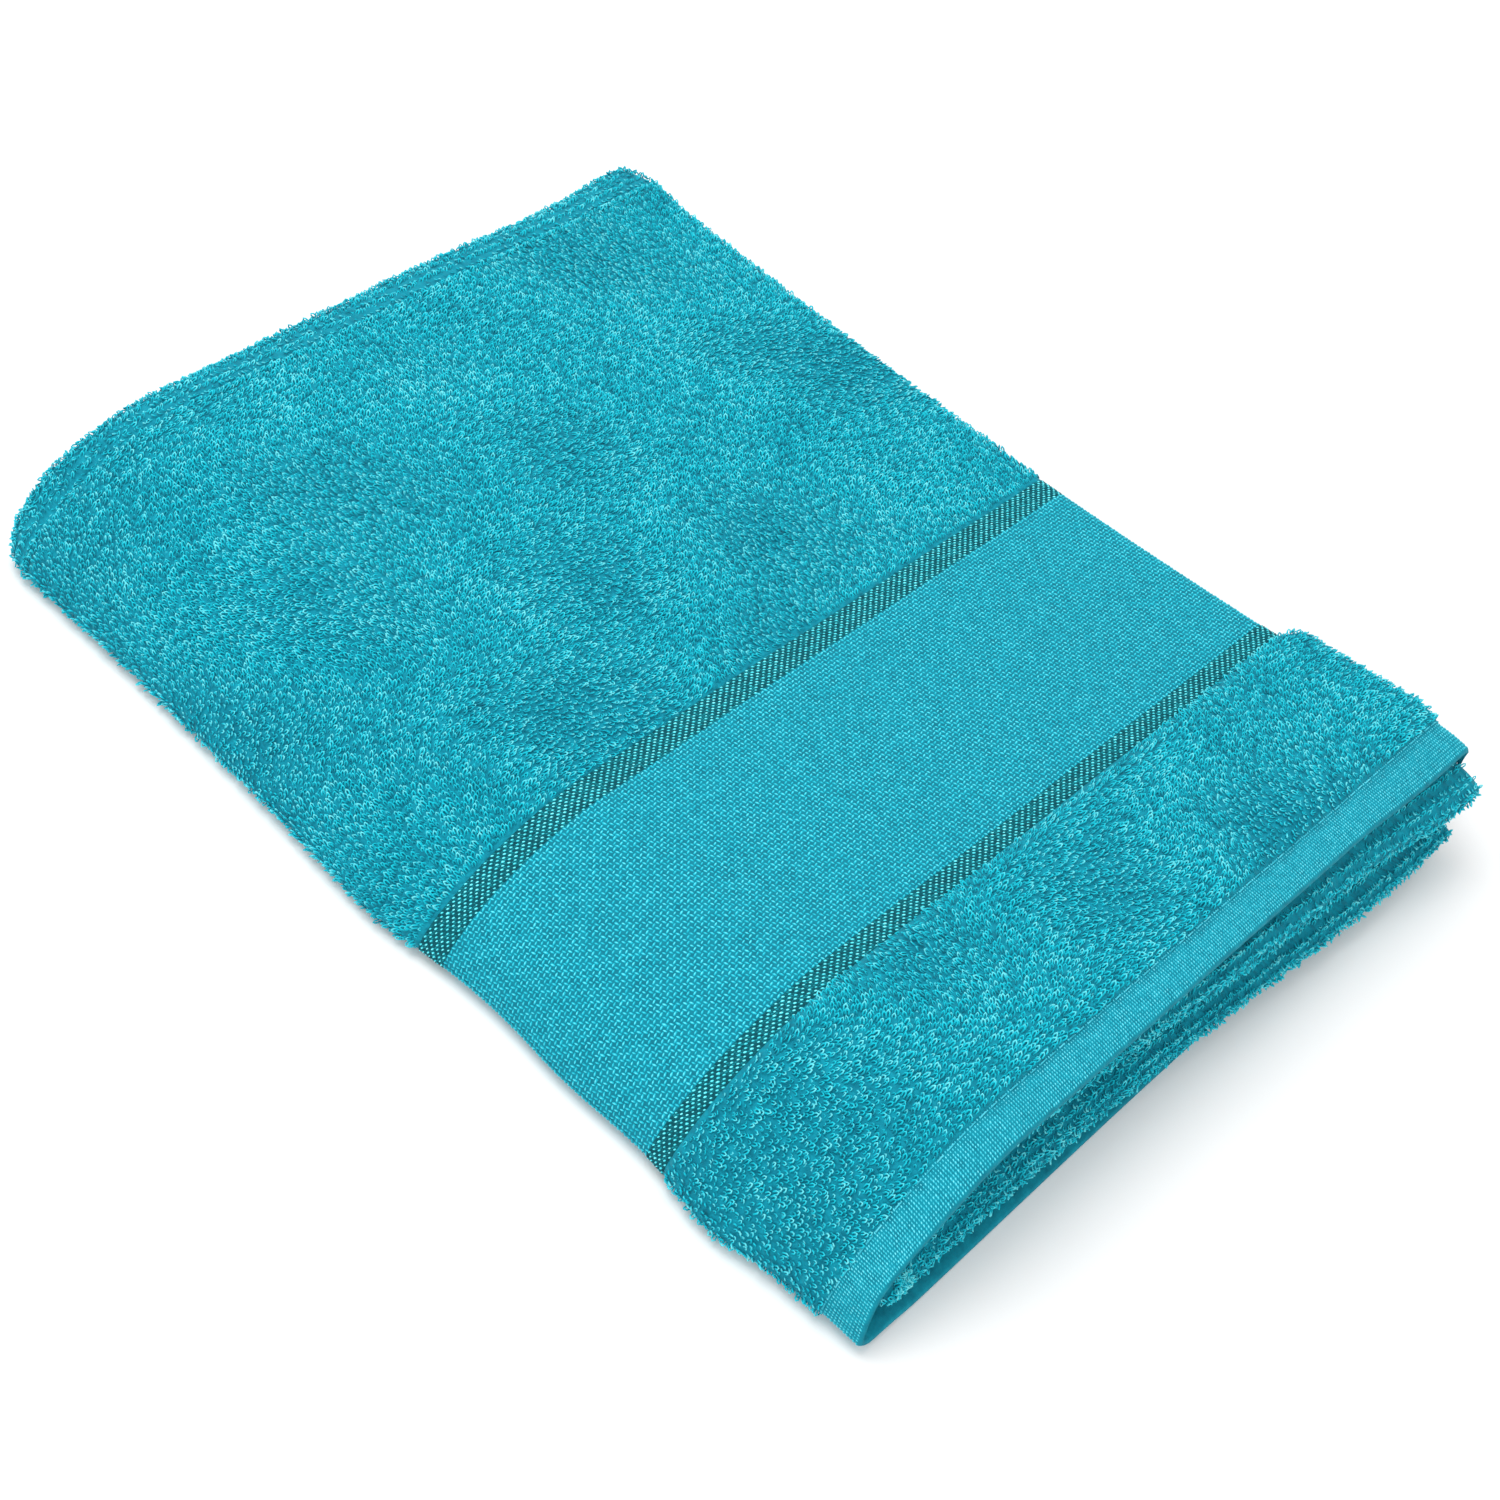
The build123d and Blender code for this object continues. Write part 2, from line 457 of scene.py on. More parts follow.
def carrier(name, points, stand, across, grow):
    """A mesh of bare vertices that says where yarn is planted and which way it leans."""
    mesh = bpy.data.meshes.new(name)
    mesh.from_pydata(points.reshape(-1, 3).tolist(), [], [])
    for label, value in (("stand", stand), ("across", across)):
        held = mesh.attributes.new(label, "FLOAT_VECTOR", "POINT")
        held.data.foreach_set("vector", value.reshape(-1).astype(np.float32))
    held = mesh.attributes.new("grow", "FLOAT", "POINT")
    held.data.foreach_set("value", np.broadcast_to(grow, points.shape[:-1]).reshape(-1).astype(np.float32))
    return new_object(name, mesh)


def plant(ob, tree, yarn, seed, **values):
    """Runs a planting tree on a carrier and keeps the result as the object's own plain mesh."""
    modifier = ob.modifiers.new("plant", "NODES")
    modifier.node_group = tree
    values = {key.replace("_", " "): value for key, value in values.items()}
    for item in tree.interface.items_tree:
        if item.in_out == "INPUT" and item.name in {"Seed", "Yarn", *values}:
            modifier[item.identifier] = {"Seed": seed, "Yarn": yarn, **values}[item.name]
    bpy.context.view_layer.update()
    grown = bpy.data.meshes.new_from_object(ob.evaluated_get(bpy.context.evaluated_depsgraph_get()))
    ob.modifiers.clear()
    bare = ob.data
    ob.data = grown
    bpy.data.meshes.remove(bare)
    grown.name = ob.name
    return ob


def swirl(x, y):
    """Direction in which the loops have been brushed, as an angle on the cloth."""
    return (
        2.3 + 1.1 * np.sin(x / 0.037 + 1.7 * np.sin(y / 0.052)) + 0.9 * np.sin(y / 0.029 + x / 0.061 + 0.8)
        + 0.5 * np.sin((x - y) / 0.017)
    )


def stand_loops(name, face, normal, along_x, yarn, seed, lean=0.95, grow=1.0, brushed=None, points=5):
    """Loops planted on a grid of root points, leaning away from the normal by about lean radians."""
    along_u = np.cross(normal, along_x)
    angle = swirl(face[:, :, 0], face[:, :, 1]) if brushed is None else brushed
    angle = angle[..., None]
    way = along_x * np.cos(angle) + along_u * np.sin(angle)
    side = -along_x * np.sin(angle) + along_u * np.cos(angle)
    stand = normal * math.cos(lean) + way * math.sin(lean)
    ob = carrier(name, face, stand, side, grow)
    return plant(ob, pile_tree, yarn, seed, Wander=0.38, Uneven=0.22, Stray=0.0006, Loop_Points=points)


def cotton(name, colours, weights, patch=0.02, bump=None, sheen=0.15):
    """Dyed cotton, matt with a little sheen. Its colour runs through three tones, from a dark one
    to a pale one. weights say how much patches over the cloth, the chance tone of each yarn and the
    height along a yarn count in that. Through the height, the dark tone is painted shade at a yarn's
    feet and the pale one a painted highlight on its top."""
    material = bpy.data.materials.new(name)
    material.use_nodes = True
    tree = material.node_tree
    shader = tree.nodes["Principled BSDF"]
    shader.inputs["Roughness"].default_value = 0.75
    shader.inputs["Specular IOR Level"].default_value = 0.12
    shader.inputs["Sheen Weight"].default_value = sheen
    shader.inputs["Sheen Roughness"].default_value = 0.5
    shader.inputs["Sheen Tint"].default_value = (0.30, 0.90, 1.0, 1.0)
    place = add_node(tree, "ShaderNodeTexCoord").outputs["Object"]
    share = add_node(tree, "ShaderNodeTexNoise", {
        "Vector": place, "Scale": 1 / patch, "Detail": 3.0}).outputs["Fac"]
    share = maths(tree, "MULTIPLY", share, weights[0])
    # rise makes each yarn paler towards its top: painted shade at the feet, painted highlight at the top.
    for weight, label in zip(weights[1:], ("tone", "rise")):
        held = add_node(tree, "ShaderNodeAttribute", attribute_name=label).outputs["Fac"]
        share = maths(tree, "MULTIPLY_ADD", held, weight, share)
    ramp = add_node(tree, "ShaderNodeValToRGB", {"Fac": share})
    ramp.color_ramp.elements.new(0.6)
    for element, at, colour in zip(ramp.color_ramp.elements, (0.15, 0.6, 1.0), colours):
        element.position = at
        element.color = (*colour, 1.0)
    tree.links.new(ramp.outputs["Color"], shader.inputs["Base Color"])
    if bump:
        bump(tree, shader)
    return material


def loopy_bump(tree, shader):
    """The crumbly look of pressed loops where none are modelled."""
    place = add_node(tree, "ShaderNodeTexCoord").outputs["UV"]
    cells = add_node(tree, "ShaderNodeTexVoronoi", {"Vector": place, "Scale": 480.0})
    raised = add_node(tree, "ShaderNodeBump", {
        "Height": cells.outputs["Distance"], "Strength": 0.9, "Distance": 0.0012}, invert=True)
    tree.links.new(raised.outputs["Normal"], shader.inputs["Normal"])


# The ground cloth is painted darker than the yarn throughout: painted shade, for the shadow between the
# loops.
terry_ground_painted_shade = cotton("terry ground painted shade", ((0.001, 0.15, 0.23), (0.003, 0.28, 0.38), (0.006, 0.38, 0.50)),
                      (1.0,), patch=0.004, bump=loopy_bump)
# The loop yarn's pale, near-white tone is a painted highlight on the loop tops, and its dark tone is painted
# shade at their feet.
terry_yarn = cotton("terry yarn", ((0.001, 0.18, 0.27), (0.006, 0.60, 0.74), (0.28, 0.98, 1.0)),
                    (0.35, 0.35, 0.40), patch=0.03)

side_hem_width = 0.008
side_share = side_hem_width / cloth_reach
strip_gap = 0.0010
edge_gap = 0.0020
loop_pitch_x, loop_pitch_u = 0.0021, 0.0019
loops_from = -0.05
end_blend = dict(start=(0.0, fold_y, 0.0100), end=(0.0, fold_y, droop_floor - 0.0005))


def across_steps(reach=1.0):
    """Shares across the cloth for a slab's grid: close together round the nose and at the open side."""
    under = -np.linspace(0.0, 1.0, 40)[1:] ** 1.6
    over = [np.linspace(0.0, 0.1, 20), np.linspace(0.1, 0.88, 90)[1:], np.linspace(0.88, 1.0, 26)[1:]]
    return np.concatenate([under[::-1], *over]) * reach


def pressed(u, depth):
    """Pile depth over the ground cloth: full where the loops stand, nearly none underneath."""
    weight = np.clip((u + 0.09) / 0.05, 0.0, 1.0)
    return (0.0004 + (depth - 0.0004) * weight)[None, :, None]


def finish_piece(ob, slot, nodes=(), bend=None, body=None):
    """Hides the CAD nodes that a piece stands for, and hangs the piece on its body, or bakes its place into
    its mesh when it has none.
    """
    if nodes:
        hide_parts(*nodes)
    if body:
        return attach(ob, body)
    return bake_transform(ob)


def all_round(kind):
    """The CAD nodes that one zone of the cloth is cut into by the lengthwise fold."""
    return [f"lower_{kind}", f"fold_{kind}", f"upper_{kind}"]


def outer_zone(name, kind, slot, paint, depth, thickness):
    """One zone of the outer third as a slab of cloth, right round the fold."""
    start, end = span(f"upper_{kind}")
    x = steps(start, end, 0.004)
    u = across_steps(1.0 - side_share if kind != "end_hem" else 1.0)
    top = outline(x, u)
    face = sink(top, u, pressed(u, depth))
    full = 0.3 + 0.7 * ease((1 - np.abs(u)) / 0.08)[None, :, None]
    lining = sink(top, u, pressed(u, depth) + thickness, 0.31 * full)
    ob = cloth_slab(name, face, lining, x, u)
    ob.data.materials.append(paint)
    return finish_piece(ob, slot, all_round(kind), end_blend)


def outer_loops(name, kind, parts, seed):
    """The pile of one terry zone of the outer third, in strips that meet along the towel."""
    start, end = span(f"upper_{kind}")
    edges = np.linspace(start, end, parts + 1)
    made = []
    for i in range(parts):
        before = edge_gap if i == 0 and kind == "end_pile" else strip_gap
        after = edge_gap if i == parts - 1 and kind == "pile_field" else strip_gap
        x = steps(edges[i] + before, edges[i + 1] - after, loop_pitch_x)
        u = steps(loops_from, 1.0 - side_share, loop_pitch_u / cloth_reach)
        top = outline(x, u)
        face = sink(top, u, pile_depth)
        normal, along_x = facing(top)
        ob = stand_loops(f"{name}_{i + 1}", face, normal, along_x, terry_yarn, seed + i)
        made.append(finish_piece(ob, "terry_pile", (), end_blend))
    return made


pile_field = outer_zone("pile_field_ground", "pile_field", "terry_pile", terry_ground_painted_shade, pile_depth, 0.02)
pile_field_loops = outer_loops("pile_field_loops", "pile_field", 5, 10)

# Accent stripes: two bands of flat weave with a dark ground, where paler floats of yarn surface in
# slanting rows. They are woven in one with the rest of the cloth and lie below the loop tops.
float_foot = 0.0001


def float_shape(tree, given):
    """A yarn float: a short low pillow, its ends and sides sunk in the cloth."""
    patch = add_node(tree, "GeometryNodeMeshGrid", {
        "Size X": given["Float Length"], "Size Y": given["Float Width"], "Vertices X": 3, "Vertices Y": 3})
    at = add_node(tree, "GeometryNodeInputPosition").outputs[0]
    split = add_node(tree, "ShaderNodeSeparateXYZ", {0: at})
    crowns = []
    for axis, size in ((0, given["Float Length"]), (1, given["Float Width"])):
        share = maths(tree, "DIVIDE", split.outputs[axis], size)
        crowns.append(maths(tree, "MULTIPLY_ADD", maths(tree, "MULTIPLY", share, share), -4.0, 1.0))
    inside = maths(tree, "MULTIPLY", *crowns)
    rise = maths(tree, "MULTIPLY_ADD", inside, given["Float Rise"], -float_foot)
    lifted = add_node(tree, "ShaderNodeCombineXYZ", {2: rise})
    # Keep the crown's height for the material, which paints a highlight on each float's top.
    marked = mark_height_for_painted_light(tree, patch.outputs["Mesh"], inside, 0.8)
    return add_node(tree, "GeometryNodeSetPosition", {
        "Geometry": marked, "Offset": lifted.outputs[0]}).outputs[0]


float_tree = planting_tree(
    "yarn floats", {"Float Length": 0.0018, "Float Width": 0.0010, "Float Rise": 0.0005}, float_shape)


def float_size(length, width, rise=0.0005):
    """The size inputs of the yarn floats' tree."""
    return {"Float_Length": length, "Float_Width": width, "Float_Rise": rise}


def scatter_floats(name, face, normal, along_x, keep, angle, yarn, seed, **sizes):
    """Floats on those points of a face grid that keep picks, turned by angle from the towel's length."""
    along_u = np.cross(normal, along_x)
    angle = np.broadcast_to(angle, face.shape[:2])[..., None]
    along = along_x * np.cos(angle) + along_u * np.sin(angle)
    ob = carrier(name, face[keep], normal[keep], along[keep], 1.0)
    settings = {"Wander": 0.05, "Uneven": 0.10, "Stray": 0.00008, **sizes}
    return plant(ob, float_tree, yarn, seed, **settings)


def woven_bump(pitch, depth):
    """Bump of a plain weave: over and under by turns, one yarn every pitch metres."""
    def apply(tree, shader):
        place = add_node(tree, "ShaderNodeTexCoord").outputs["UV"]
        grid = add_node(tree, "ShaderNodeTexChecker", {"Vector": place, "Scale": 1 / pitch})
        fine = add_node(tree, "ShaderNodeTexNoise", {"Vector": place, "Scale": 1 / pitch, "Detail": 2.0})
        mixed = maths(tree, "MULTIPLY_ADD", grid.outputs["Fac"], 0.7, fine.outputs["Fac"])
        raised = add_node(tree, "ShaderNodeBump", {
            "Height": mixed, "Strength": 0.6, "Distance": depth})
        tree.links.new(raised.outputs["Normal"], shader.inputs["Normal"])
    return apply


stripe_cloth = cotton("stripe ground", ((0.000, 0.06, 0.08), (0.001, 0.11, 0.14), (0.004, 0.28, 0.33)),
                      (1.0,), patch=0.0012, bump=woven_bump(0.0011, 0.0003), sheen=0.05)
# Both float colours grow paler towards each float's crown: a painted highlight.
stripe_yarn = cotton("stripe yarn", ((0.02, 0.42, 0.50), (0.09, 0.82, 0.91), (0.40, 1.0, 1.0)),
                     (0.2, 0.3, 0.55), sheen=0.1)
stripe_shade = cotton("stripe shade", ((0.000, 0.045, 0.065), (0.001, 0.10, 0.13), (0.006, 0.28, 0.34)),
                      (0.2, 0.6, 0.30), sheen=0.05)
stripe_depth = 0.0020


def zone_grid(kind, pitch_x, pitch_u, depth, u_to=1.0 - side_share):
    """Points, normals and directions on the face of an outer zone, at the pitch of its weave."""
    start, end = span(f"upper_{kind}")
    x = steps(start + pitch_x / 2, end - pitch_x / 2, pitch_x)
    u = steps(loops_from, u_to, pitch_u / cloth_reach)
    top = outline(x, u)
    normal, along_x = facing(top)
    return sink(top, u, depth), normal, along_x


def accent_stripe(name, kind, seed):
    """The stripe's cloth and its slanting rows of floats, one row every few millimetres."""
    cloth = outer_zone(f"{name}_cloth", kind, "accent_stripe", stripe_cloth, stripe_depth, 0.0020)
    face, normal, along_x = zone_grid(kind, 0.00096, 0.00120, stripe_depth)
    row, column = np.indices(face.shape[:2])
    bright = (row + column) % 3 == 0
    made = [cloth]
    for label, keep, yarn in (("floats", bright, stripe_yarn), ("shade_floats", ~bright, stripe_shade)):
        floats = scatter_floats(f"{name}_{label}", face, normal, along_x, keep, 0.6, yarn, seed,
                                **float_size(0.00135, 0.00092))
        made.append(finish_piece(floats, "accent_stripe", (), end_blend))
    return made


wide_stripe = accent_stripe("wide_stripe", "wide_stripe", 31)
narrow_stripe = accent_stripe("narrow_stripe", "narrow_stripe", 32)

# Border: the broad flat-woven band between the stripes, a firm basket weave with no loops. It is
# woven in one with the terry and lies a little below the loop tops.
border_depth = 0.0023
border_pitch = 0.00175
# The border's ground is painted darker than its floats: painted shade, for the shadow in the gaps between
# floats.
border_ground_painted_shade = cotton("border ground painted shade", ((0.001, 0.13, 0.19), (0.003, 0.21, 0.29), (0.005, 0.28, 0.38)),
                      (1.0,), patch=0.004, bump=woven_bump(0.0018, 0.0003))
# The border floats grow paler towards their crowns: a painted highlight.
border_yarn = cotton("border yarn", ((0.003, 0.27, 0.37), (0.013, 0.53, 0.67), (0.16, 0.84, 0.94)),
                     (0.10, 0.28, 0.65), patch=0.05)
border = outer_zone("border_ground_painted_shade", "border", "border_weave", border_ground_painted_shade, border_depth, 0.0020)
face, normal, along_x = zone_grid("border", border_pitch, border_pitch, border_depth)
row, column = np.indices(face.shape[:2])
border_floats = scatter_floats(
    "border_floats", face, normal, along_x, np.ones(face.shape[:2], bool),
    np.where((row + column) % 2 == 0, 0.0, math.pi / 2), border_yarn, 33,
    **float_size(0.0020, 0.00105, 0.0006))
finish_piece(border_floats, "border_weave", (), end_blend)

# End pile: the strip of terry between the narrow stripe and the hem, the same cotton loops as the
# main field. It puffs up where the front turn lies under it.
end_pile = outer_zone("end_pile_ground", "end_pile", "terry_pile", terry_ground_painted_shade, pile_depth, 0.02)
end_pile_loops = outer_loops("end_pile_loops", "end_pile", 1, 20)

# End hem: the flat-woven end of the cloth, turned twice and sewn down. It is as wide as the cloth
# and goes right round the lengthwise fold.
hem_depth = 0.0030
hem_cloth = cotton("hem cloth", ((0.001, 0.15, 0.22), (0.003, 0.25, 0.34), (0.006, 0.33, 0.44)),
                   (1.0,), patch=0.004, bump=woven_bump(0.0014, 0.0003))
# The hem floats grow paler towards their crowns: a painted highlight.
hem_yarn = cotton("hem yarn", ((0.006, 0.29, 0.39), (0.03, 0.54, 0.67), (0.24, 0.86, 0.95)),
                  (0.10, 0.28, 0.65), patch=0.03)
end_hem = outer_zone("end_hem_cloth", "end_hem", "hem_weave", hem_cloth, hem_depth, 0.0024)
face, normal, along_x = zone_grid("end_hem", 0.00125, 0.0012, hem_depth, u_to=1.0)
hem_floats = scatter_floats("end_hem_floats", face, normal, along_x, np.ones(face.shape[:2], bool), -0.7,
                            hem_yarn, 34, **float_size(0.0013, 0.0008))
finish_piece(hem_floats, "hem_weave", (), end_blend)

# Middle third: the run of terry between the two turns, hidden between the outer and inner thirds.
# It is the same cloth, held by the turns at both ends, and only its edges can be seen.
middle_blend = dict(start=(0.0, fold_y, 0.0187), end=(0.0, fold_y, 0.0340))
inner_reach = 0.965
x = steps(*span("upper_middle_layer"), 0.012)
u = across_steps(inner_reach - side_share)
middle_layer = cloth_slab("middle_layer", layer(x, u, 1.92), layer(x, u, 1.10), x, u)
middle_layer.data.materials.append(terry_ground_painted_shade)
finish_piece(middle_layer, "terry_pile", all_round("middle_layer"), middle_blend)

# Turns: where the cloth doubles back on itself at either end. The back turn joins the outer and
# middle thirds and the front turn the middle and inner ones, each a roll of terry round the fold.
turn_spill = 0.018
turn_sag = 0.008
turn_swell = 0.52
ground_inset, lining_inset = 0.0020, 0.0050
fold_below, fold_above = -0.088, 0.112


def turn_surface(angle, u, start, reach, levels, droops, inset, loose):
    """Skin of a turn: angle runs over the roll from its first level to its last, inset is its depth
    under the loop tops, and reach is how far each point across lies beyond start. A loose roll swells,
    spills out sideways and sags towards the open side."""
    at = np.array([start])
    swell = turn_swell * loose * ease((u - 0.7) / 0.25)[None, :, None]
    low = layer(at, u, levels[0], droops)
    high = layer(at, u, levels[1] + swell, droops)
    middle, half = (low + high) / 2, (high - low) / 2
    thick = np.linalg.norm(half, axis=2, keepdims=True)
    half = half * np.maximum(1 - inset / thick, 0.2)
    skin = middle + half * np.sin(angle)[:, None, None]
    skin[:, :, 0] = start + np.cos(angle)[:, None] * (reach - math.copysign(inset, reach.mean()))
    nose = loose * np.cos(angle)[:, None]
    sunk = np.where(u > 0, ease((u - 0.60) / 0.38), 0.35 + 0.35 * ease(-u))
    skin[:, :, 1] += turn_spill * nose * ease((np.abs(u) - 0.60) / 0.38)
    skin[:, :, 2] -= turn_sag * nose * sunk
    return skin


def turn_piece(name, angle, u, start, reach_of, levels, droops, loose, row_count, seed, **holds):
    """A stretch of turn across the towel: its ground cloth, and loops in rows along the roll."""
    near, far = (turn_surface(angle, u, start, reach_of(angle, u), levels, droops, inset, loose)
                 for inset in (ground_inset, lining_inset))
    ground = cloth_slab(f"{name}_ground", near, far, np.sin(angle) * 0.010, u)
    ground.data.materials.append(terry_ground_painted_shade)
    finish_piece(ground, "terry_pile", [name], **holds)
    rows = np.linspace(angle[0], angle[-1], row_count)
    u = steps(u[0], u[-1], loop_pitch_x / cloth_reach)
    roots = turn_surface(rows, u, start, reach_of(rows, u), levels, droops, ground_inset, loose)
    normal, along_x = facing(roots)
    by_turns = np.where(np.arange(len(rows)) % 2 == 0, 0.5, -0.5)[:, None] * math.pi
    side = by_turns + swirl(roots[:, :, 1], 0.0) * 0.2
    loops = stand_loops(f"{name}_loops", roots, normal, along_x, terry_yarn, seed, brushed=side)
    return ground, finish_piece(loops, "terry_pile", (), **holds)


def front_reach(angle, u):
    """How far the front turn runs out past its start: least near the fold, most at the open side. The
    upper half has two grooves along it."""
    upper = 0.0210 + 0.0130 * ease((u - 0.05) / 0.9) + 0.0065 * ease((u - 0.80) / 0.16)
    lower = 0.0272 + 0.0108 * ease((-u - 0.30) / 0.60)
    groove = sum(depth * np.exp(-(((angle - math.radians(at)) / 0.13) ** 2))
                 for at, depth in ((-8, 0.0030), (-34, 0.0026)))
    wave = ripple(u * cloth_reach, np.zeros_like(u), 0.0012)
    return (np.where(u > 0, upper, lower) + wave)[None, :] - groove[:, None] * ease(u / 0.06)[None, :]


def back_reach(angle, u):
    """The back turn runs out evenly, a little less near the fold."""
    wave = ripple(u * cloth_reach + 0.3, np.zeros_like(u), 0.0010)
    drawn_in = 0.0035 * (1 - ease(np.abs(u) / 0.35)) - 0.0035 * ease((u - 0.8) / 0.15)
    return np.broadcast_to(-0.0215 + drawn_in + wave, (len(angle), len(u)))


def split_across(reach, bend):
    """The stretches of an inner layer between the fold and the open side: (part, shares, holds)."""
    yield "lower", np.linspace(-reach, fold_below, 60), dict(body="lower_half")
    yield "fold", np.linspace(fold_below, fold_above, 31), dict(bend=bend)
    yield "upper", np.linspace(fold_above, reach, 60), dict(body="upper_half")


def turn(end, across, bend, length, **shape):
    """One crosswise turn in its lower, fold and upper parts. length, its run as flat cloth, is not used."""
    for seed, (part, u, holds) in enumerate(split_across(across, bend), 40):
        turn_piece(f"{part}_{end}_turn", u=u, seed=seed, **shape, **holds)


inner_blend = dict(start=(0.0, fold_y, middle_z - 0.014), end=(0.0, fold_y, middle_z + 0.014))
up = np.linspace(-math.pi / 2, math.pi / 2, 41)
turn("back", across=1.0, bend=end_blend, length=0.036, angle=up, start=span("upper_back_turn")[1],
     reach_of=back_reach, levels=(1.05, 3.0), droops=True, loose=0.0, row_count=19)
turn("front", across=0.985, bend=inner_blend, length=0.050, angle=up[::-1], start=span("upper_front_turn")[0],
     reach_of=front_reach, levels=(0.08, 1.95), droops=False, loose=1.0, row_count=25)

# Inner third: the other end of the towel, with its own border, stripes and hem. Its two halves lie
# face to face, and are seen when the towel is opened at the lengthwise fold.
inner_depth = 0.0026
layer_thickness = 0.0092
inner_loop_pitch = 0.0036
face_blend = dict(start=(0.0, fold_y, middle_z - 0.0022), end=(0.0, fold_y, middle_z + 0.0022))


def inner_grid(part, kind, pitch):
    """Points, normals and directions on the inner face of a zone's upper or lower part."""
    start, end = span(f"{part}_{kind}")
    x = steps(start + pitch / 2, end - pitch / 2, pitch)
    first, last = (fold_above, inner_reach) if part == "upper" else (-inner_reach, fold_below)
    u = steps(first + 0.003, last - 0.003, pitch / cloth_reach)
    face = layer(x, u, inner_depth / layer_thickness)
    facing_up = -1.0 if part == "upper" else 1.0
    normal = np.broadcast_to(np.array([0.0, 0.0, facing_up]), face.shape)
    return face, normal, np.broadcast_to(np.array([1.0, 0.0, 0.0]), face.shape)


def inner_loops(part, kind, count, seed):
    """The pile on the inner face of a terry zone, somewhat sparser than outside."""
    face, normal, along_x = inner_grid(part, kind, inner_loop_pitch)
    made = []
    for i, some in enumerate(np.array_split(np.arange(len(face)), count)):
        ob = stand_loops(f"{part}_{kind}_loops_{i + 1}", face[some], normal[some], along_x[some], terry_yarn,
                         seed + i, lean=1.2, grow=1.55, points=4)
        made.append(finish_piece(ob, "terry_pile", (), body=f"{part}_half"))
    return made


def inner_floats(part, kind, slot, pitch, yarn, seed, every, angles, **sizes):
    """Yarn floats on the inner face: every nth diagonal of the grid, at the angles taken by turns."""
    face, normal, along_x = inner_grid(part, kind, pitch)
    row, column = np.indices(face.shape[:2])
    angle = np.where((row + column) % 2 == 0, *angles)
    keep = (row + column) % every == 0
    ob = scatter_floats(f"{part}_{kind}_floats", face, normal, along_x, keep, angle, yarn, seed, **sizes)
    return [finish_piece(ob, slot, (), body=f"{part}_half")]


inner_zones = (
    ("inner_pile_field", "terry_pile", terry_ground_painted_shade, 0.234),
    ("inner_wide_stripe", "accent_stripe", stripe_cloth, 0.0115),
    ("inner_border", "border_weave", border_ground_painted_shade, 0.106),
    ("inner_narrow_stripe", "accent_stripe", stripe_cloth, 0.010),
    ("inner_end_pile", "terry_pile", terry_ground_painted_shade, 0.072),
    ("inner_end_hem", "hem_weave", hem_cloth, 0.0145),
)
for kind, slot, paint, length in inner_zones:
    across = inner_reach if kind == "inner_end_hem" else inner_reach - side_share
    for part, u, holds in split_across(across, face_blend):
        x = steps(*span(f"upper_{kind}"), 0.005)
        outer, inner = layer(x, u, 0.93), layer(x, u, inner_depth / layer_thickness)
        ob = cloth_slab(f"{part}_{kind}_cloth", outer, inner, x, u)
        ob.data.materials.append(paint)
        finish_piece(ob, slot, [f"{part}_{kind}"], **holds)
    for number, part in enumerate(("lower", "upper")):
        if slot == "terry_pile":
            made = inner_loops(part, kind, 2 if length > 0.1 else 1, 50 + 3 * number)
        elif slot == "accent_stripe":
            made = inner_floats(part, kind, slot, 0.0013, stripe_yarn, 60, 3, (0.6, 0.6),
                                **float_size(0.0016, 0.0010))
        elif slot == "border_weave":
            made = inner_floats(part, kind, slot, 0.0029, border_yarn, 62, 1, (0.0, math.pi / 2),
                                **float_size(0.0036, 0.0018))
        else:
            made = inner_floats(part, kind, slot, 0.0014, hem_yarn, 63, 2, (-0.7, -0.7),
                                **float_size(0.0014, 0.0009))

# Side hems: the long edges of the cloth, each turned and sewn into a narrow flat strip. There is one
# on every layer of each half, along the open side.


def side_hem(part, kind, levels, reach):
    """One side hem as a flat slab between two levels of the stack, riding on its half."""
    node = f"{part}_{kind}"
    x = steps(*span(node), 0.005)
    u = np.linspace(reach - side_share, reach, 12) * (1 if part == "upper" else -1)
    outer, inner = (layer(x, u, level, kind == "side_hem") for level in levels)
    if part == "lower":
        outer, inner = outer[:, ::-1], inner[:, ::-1]
        u = u[::-1]
    ob = cloth_slab(f"{part}_{kind}_cloth", outer, inner, x, u)
    ob.data.materials.append(hem_cloth)
    return finish_piece(ob, "hem_weave", [node], body=f"{part}_half")


for part in ("upper", "lower"):
    outer_levels = (2.78, 2.25) if part == "upper" else (2.95, 2.5)
    for kind, levels, reach in (("side_hem", outer_levels, 1.0),
                                ("middle_side_hem", (1.75, 1.3), inner_reach),
                                ("inner_side_hem", (0.72, 0.27), inner_reach)):
        side_hem(part, kind, levels, reach)

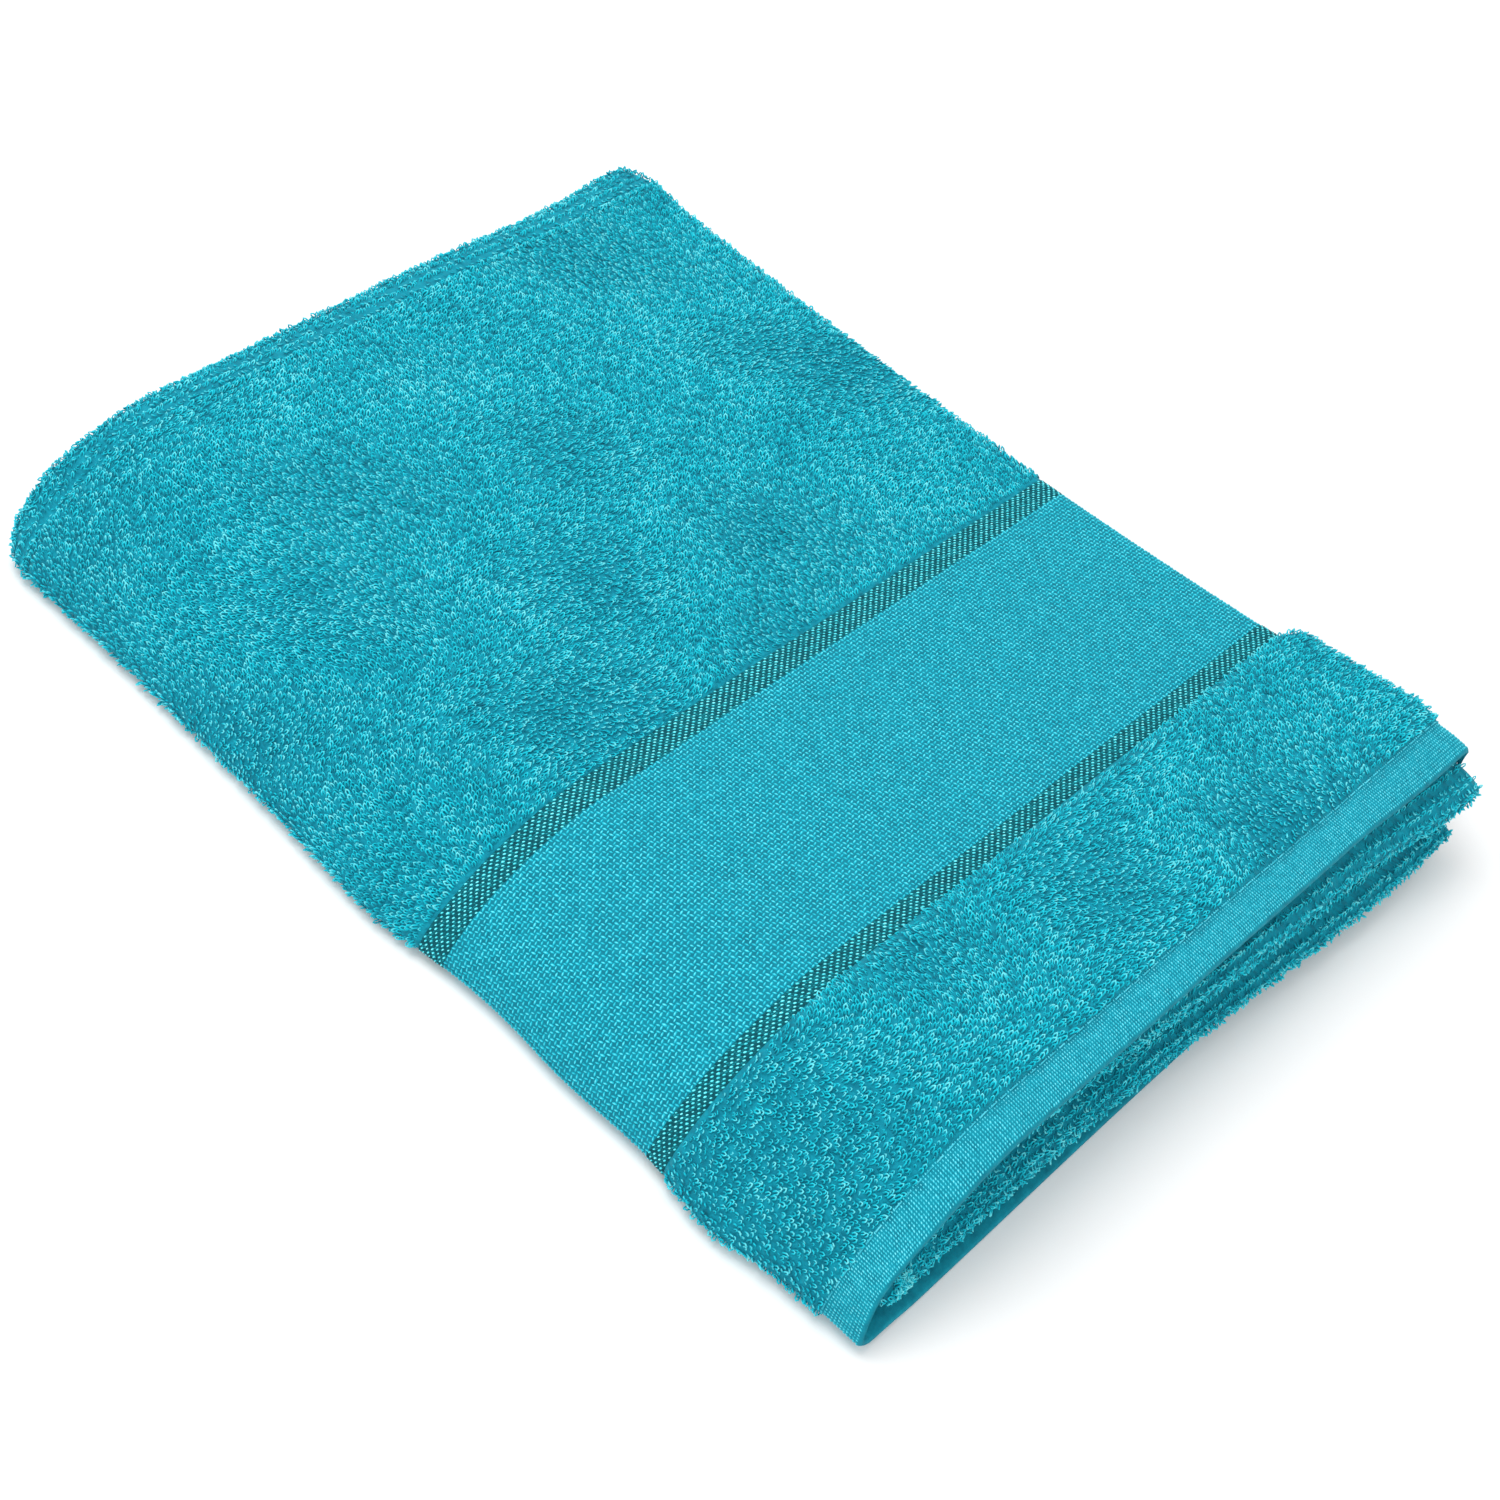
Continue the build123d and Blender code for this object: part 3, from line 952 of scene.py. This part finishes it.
# Hem stitching: a straight row of lockstitch in cotton thread that closes each end hem. One runs right
# round the fold on the outer hem. The other lies on the inner hem, and each half carries its own part.
stitch_length, stitch_pitch, stitch_radius = 0.0030, 0.0052, 0.00032
stitch_bow = math.radians(36)
stitch_inset = 0.0008
stitch_lift = 0.0004
stitch_evenness = {"Wander": 0.03, "Uneven": 0.06, "Stray": 0.0001}
stitch_colour = cotton("sewing thread", ((0.02, 0.38, 0.49), (0.06, 0.56, 0.69), (0.17, 0.76, 0.86)),
                       (0.3, 0.6))


def stitch_shape(tree, given):
    """A stitch: a short tube of thread, bowed so that its two ends dip into the cloth."""
    bow = add_node(tree, "GeometryNodeCurveArc", {
        "Resolution": 6, "Radius": given["Bow Radius"], "Start Angle": (math.pi - stitch_bow) / 2,
        "Sweep Angle": stitch_bow})
    section = add_node(tree, "GeometryNodeCurvePrimitiveCircle", {
        "Resolution": 5, "Radius": given["Thread Radius"]})
    drop = maths(tree, "MULTIPLY", given["Bow Radius"], -0.972)
    lowered = add_node(tree, "ShaderNodeCombineXYZ", {2: drop})
    upright = add_node(tree, "GeometryNodeTransform", {
        "Geometry": bow.outputs[0], "Rotation": (math.radians(90), 0.0, 0.0),
        "Translation": lowered.outputs[0]})
    return add_node(tree, "GeometryNodeCurveToMesh", {
        "Curve": upright.outputs[0], "Profile Curve": section.outputs[0], "Fill Caps": True}).outputs[0]


stitch_tree = planting_tree(
    "stitches", {"Bow Radius": stitch_length / 0.618, "Thread Radius": stitch_radius}, stitch_shape)
seam_line = span("upper_end_hem")[0] + stitch_inset
u = steps(-0.98, 0.995, stitch_pitch / cloth_reach)
top = outline(np.array([seam_line, seam_line + 0.0005]), u)
normal, along_x = facing(top)
seam = sink(top, u, hem_depth - 0.0002)
hem_stitching = carrier("hem_stitching", seam[:1], normal[:1], np.cross(normal, along_x)[:1], 1.0)
plant(hem_stitching, stitch_tree, stitch_colour, 70, **stitch_evenness)
finish_piece(hem_stitching, "sewing_thread", all_round("hem_stitching"), end_blend)
for part in ("lower", "upper"):
    face, normal, along_x = inner_grid(part, "inner_end_hem", stitch_pitch)
    raised = face + normal * stitch_lift
    across = np.cross(normal, along_x)
    seam = carrier(f"{part}_inner_hem_stitching", raised[-1:], normal[-1:], across[-1:], 1.0)
    plant(seam, stitch_tree, stitch_colour, 71, **stitch_evenness)
    finish_piece(seam, "sewing_thread", (), body=f"{part}_half")
